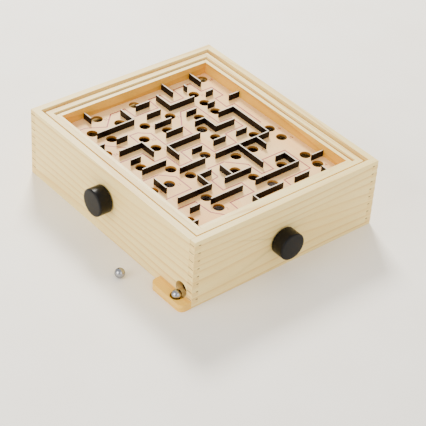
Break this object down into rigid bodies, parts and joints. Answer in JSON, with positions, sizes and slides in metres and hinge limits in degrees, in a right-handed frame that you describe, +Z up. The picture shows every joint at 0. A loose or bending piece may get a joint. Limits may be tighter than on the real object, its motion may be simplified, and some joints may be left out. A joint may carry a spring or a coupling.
{
  "type": "tilt maze game",
  "caption": "Wooden tilt maze game: a ball maze board in two nested tilting frames, set in a finger-jointed box with two side knobs and a ball exit tray.",
  "frame": {"origin": "middle of the box's underside, on the foot of the bearer that carries the catch floor", "axes": "+X along the front wall from the left wall to the right wall, +Y from the front wall to the back wall, +Z up"},
  "size_m": [0.3223, 0.3475, 0.095],
  "materials": {
    "pine": "smooth clear-lacquered softwood",
    "honey_wood": "smooth lacquered honey-coloured wood",
    "printed_plywood": "smooth plywood printed with a thin red route",
    "dark_wood": "dark brown stain with a slight sheen",
    "knob_black": "glossy black",
    "steel": "plain drawn steel",
    "ball_steel": "polished",
    "brass": "satin",
    "cord": "braided, matt"
  },
  "bodies": {
    "box": {"front_wall": "pine", "back_wall": "pine", "left_wall": "pine", "right_wall": "pine", "catch_floor": "honey_wood", "floor_cleat_front": "pine", "floor_cleat_back": "pine", "floor_cleat_left": "pine", "floor_cleat_right": "pine", "floor_bearer": "pine", "exit_guide": "honey_wood", "exit_tray": "honey_wood", "outer_pivot_pins": "steel", "outer_pivot_spacers": "brass"},
    "outer_frame": {"outer_frame_front": "pine", "outer_frame_back": "pine", "outer_frame_left": "pine", "outer_frame_right": "pine", "inner_pivot_pins": "steel", "inner_pivot_spacers": "brass", "outer_cord_eyes": "steel", "outer_cord": "cord", "outer_cord_spring": "steel"},
    "maze_tray": {"inner_frame_front": "honey_wood", "inner_frame_back": "honey_wood", "inner_frame_left": "honey_wood", "inner_frame_right": "honey_wood", "maze_board": "printed_plywood", "board_cleats": "pine", "cross_maze_walls": "dark_wood", "long_maze_walls": "dark_wood", "inner_cord_eyes": "steel", "inner_cord": "cord", "inner_cord_spring": "steel"},
    "left_drive": {"left_shaft": "steel", "left_knob": "knob_black", "left_washer": "steel", "left_retainers": "steel"},
    "front_drive": {"front_shaft": "steel", "front_knob": "knob_black", "front_washer": "steel", "front_retainers": "steel"},
    "exit_ball": {"tray_ball": "ball_steel"},
    "loose_ball": {"spare_ball": "ball_steel"}
  },
  "joints": [
    {"name": "outer_frame_tilt", "type": "hinge", "parent": "box", "child": "outer_frame", "pos_m": [0, 0, 0.08], "axis": [1, 0, 0], "range_deg": [-4, 4], "deforming": ["outer_cord", "outer_cord_spring"]},
    {"name": "maze_tray_tilt", "type": "hinge", "parent": "outer_frame", "child": "maze_tray", "pos_m": [0, 0, 0.08], "axis": [0, 1, 0], "range_deg": [-4, 4], "deforming": ["inner_cord", "inner_cord_spring"]},
    {"name": "left_knob_turn", "type": "hinge", "parent": "box", "child": "left_drive", "pos_m": [-0.1515, 0.006, 0.0545], "axis": [1, 0, 0], "range_deg": [-25, 25]},
    {"name": "front_knob_turn", "type": "hinge", "parent": "box", "child": "front_drive", "pos_m": [-0.0075, -0.174, 0.0415], "axis": [0, 1, 0], "range_deg": [-40, 40]},
    {"name": "exit_ball_lift", "type": "slide", "parent": "box", "child": "exit_ball", "axis": [0, 0, 1], "range_m": [0, 0.03]},
    {"name": "loose_ball_lift", "type": "slide", "parent": "box", "child": "loose_ball", "axis": [0, 0, 1], "range_m": [0, 0.03]}
  ],
  "couplings": [
    {"joint": "left_knob_turn", "follows": "outer_frame_tilt", "ratio": -6.08},
    {"joint": "front_knob_turn", "follows": "maze_tray_tilt", "ratio": -9.58}
  ]
}
